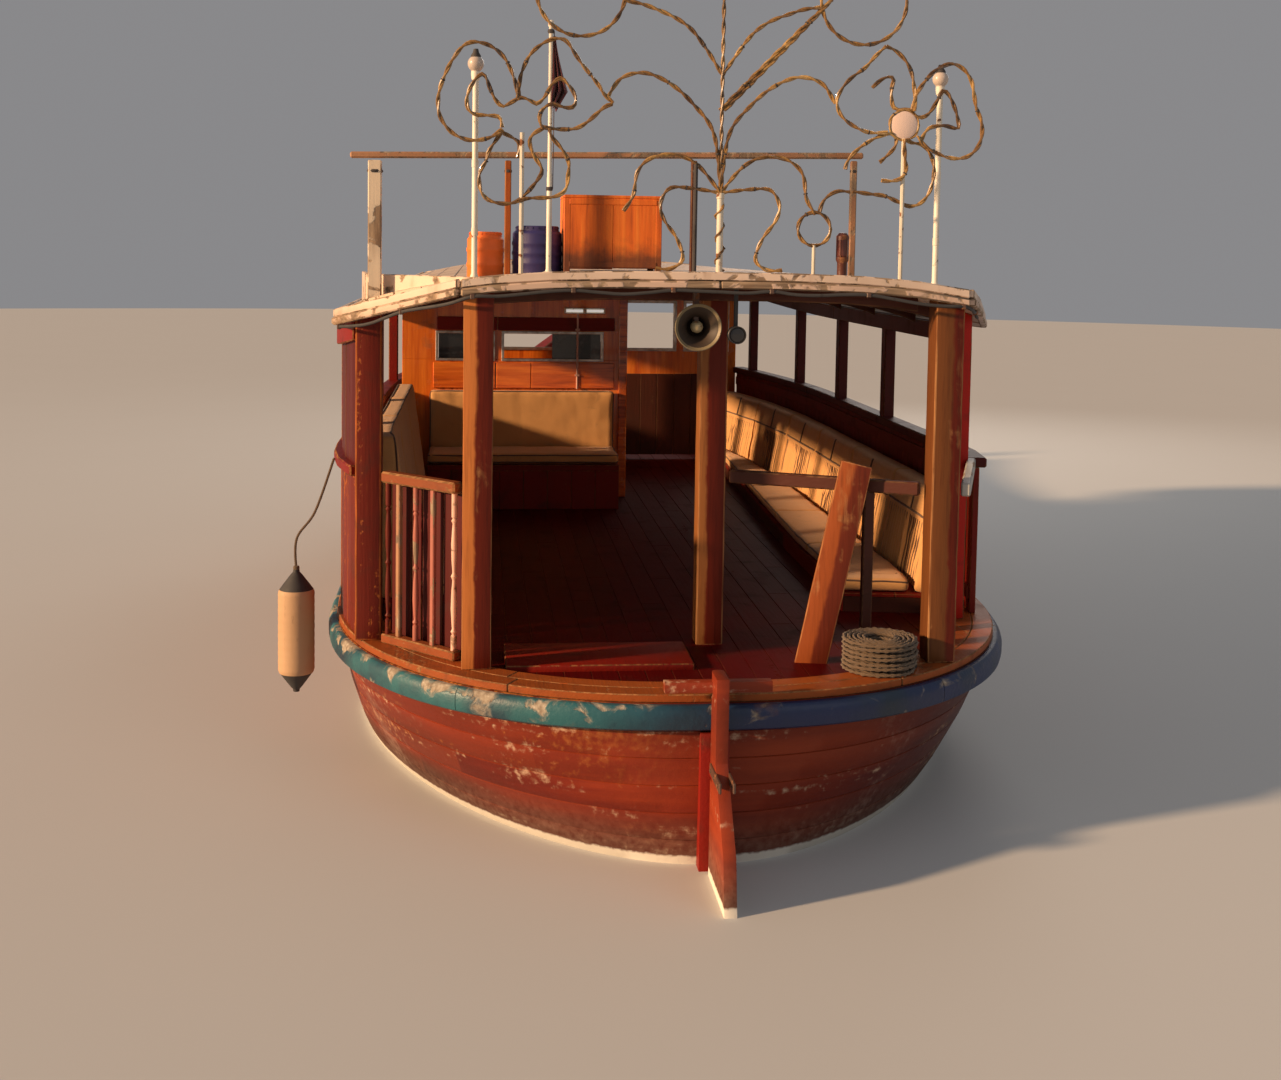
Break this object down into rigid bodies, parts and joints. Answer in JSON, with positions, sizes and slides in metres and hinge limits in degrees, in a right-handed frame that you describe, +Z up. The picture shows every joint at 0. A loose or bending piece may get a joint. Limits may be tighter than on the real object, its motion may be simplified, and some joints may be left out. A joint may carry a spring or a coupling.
{
  "type": "passenger dhow boat",
  "caption": "Wooden passenger dhow with a round stern, open-sided saloon under a cambered roof, rope-light figures and a raked bow.",
  "frame": {"origin": "centreline amidships, on the waterline", "axes": "+X to starboard, +Y to the bow, +Z up"},
  "size_m": [4.3274, 13.74, 5.7],
  "materials": {
    "hull_planking": "worn maroon paint over planks, sun-bleached, foul at the waterline",
    "orange_timber": "sun-lit varnished timber, worn",
    "red_timber": "red-painted timber, worn to the wood on its edges",
    "cream_timber": "cream paint, flaking and stained",
    "blue_strake": "teal-blue paint rubbed back to grey wood",
    "cushion_cloth": "cream upholstery cloth with piping",
    "bronze": "dull cast bronze",
    "white_metal": "white paint on steel pipe, rust at the foot",
    "rope_light": "yellowed rope light tied to bent rod",
    "horn_metal": "grey paint, weathered",
    "orange_plastic": "faded barrel plastic",
    "blue_plastic": "scuffed barrel plastic",
    "plywood": "weathered plywood",
    "black_metal": "black paint, dusty",
    "hemp_rope": "weathered hemp",
    "fender_vinyl": "dirty cream body with black ends"
  },
  "bodies": {
    "boat": {"hull": "hull_planking", "backbone": "red_timber", "rubbing_strake_port": "blue_strake", "rubbing_strake_starboard": "blue_strake", "covering_board_port": "orange_timber", "covering_board_starboard": "orange_timber", "bow_bulwark": "red_timber", "roof": "cream_timber", "roof_beams": "red_timber", "roof_edge": "cream_timber", "post_quarter_port": "orange_timber", "post_quarter_starboard": "orange_timber", "post_entry": "orange_timber", "corner_post_port": "red_timber", "corner_post_starboard": "red_timber", "side_planks_port": "red_timber", "side_planks_starboard": "red_timber", "side_frame_port": "red_timber", "side_frame_starboard": "red_timber", "bench_port": "red_timber", "bench_starboard": "red_timber", "bench_forward": "red_timber", "seat_cushion_port": "cushion_cloth", "seat_cushion_starboard": "cushion_cloth", "seat_cushion_forward": "cushion_cloth", "back_cushion_port": "cushion_cloth", "back_cushion_starboard": "cushion_cloth", "back_cushion_forward": "cushion_cloth", "quarter_balustrade": "orange_timber", "entry_rail": "orange_timber", "quarter_rail": "cream_timber", "bulkhead": "orange_timber", "bulkhead_panel": "orange_timber", "cabin_front": "orange_timber", "helm_stand": "orange_timber", "hatch_coaming": "red_timber", "bow_bitts": "orange_timber", "lamp_pole_port": "white_metal", "lamp_pole_starboard": "white_metal", "flagstaff": "white_metal", "drum_orange": "orange_plastic", "drum_blue": "blue_plastic", "locker": "plywood", "awning_rail": "orange_timber", "figure_port": "rope_light", "figure_starboard": "rope_light", "figure_palm": "rope_light", "horn": "horn_metal", "fender": "fender_vinyl", "landing_board": "red_timber", "floodlight": "black_metal", "beacon": "black_metal", "cabin_lamp": "white_metal", "roof_coaming": "cream_timber", "leaning_plank": "orange_timber", "rope_coil": "hemp_rope"},
    "rudder": {"rudder": "hull_planking"},
    "propeller": {"propeller": "bronze"},
    "steering_wheel": {"steering_wheel": "orange_timber"},
    "hatch_lid": {"hatch_lid": "orange_timber"}
  },
  "joints": [
    {"name": "rudder_swing", "type": "hinge", "parent": "boat", "child": "rudder", "pos_m": [0, -6.42, 0], "axis": [0, 0, 1], "range_deg": [-35, 35]},
    {"name": "propeller_spin", "type": "hinge", "parent": "boat", "child": "propeller", "pos_m": [0, -5.905, -0.6], "axis": [0, 1, 0], "continuous": true},
    {"name": "wheel_turn", "type": "hinge", "parent": "boat", "child": "steering_wheel", "pos_m": [-0.12, 1.48, 1.9], "axis": [0, 1, 0], "range_deg": [-420, 420]},
    {"name": "hatch_swing", "type": "hinge", "parent": "boat", "child": "hatch_lid", "pos_m": [0, 3.138, 1.0643], "axis": [1, 0, 0], "range_deg": [0, 100]}
  ],
  "couplings": [
    {"joint": "wheel_turn", "follows": "rudder_swing", "ratio": 12}
  ]
}
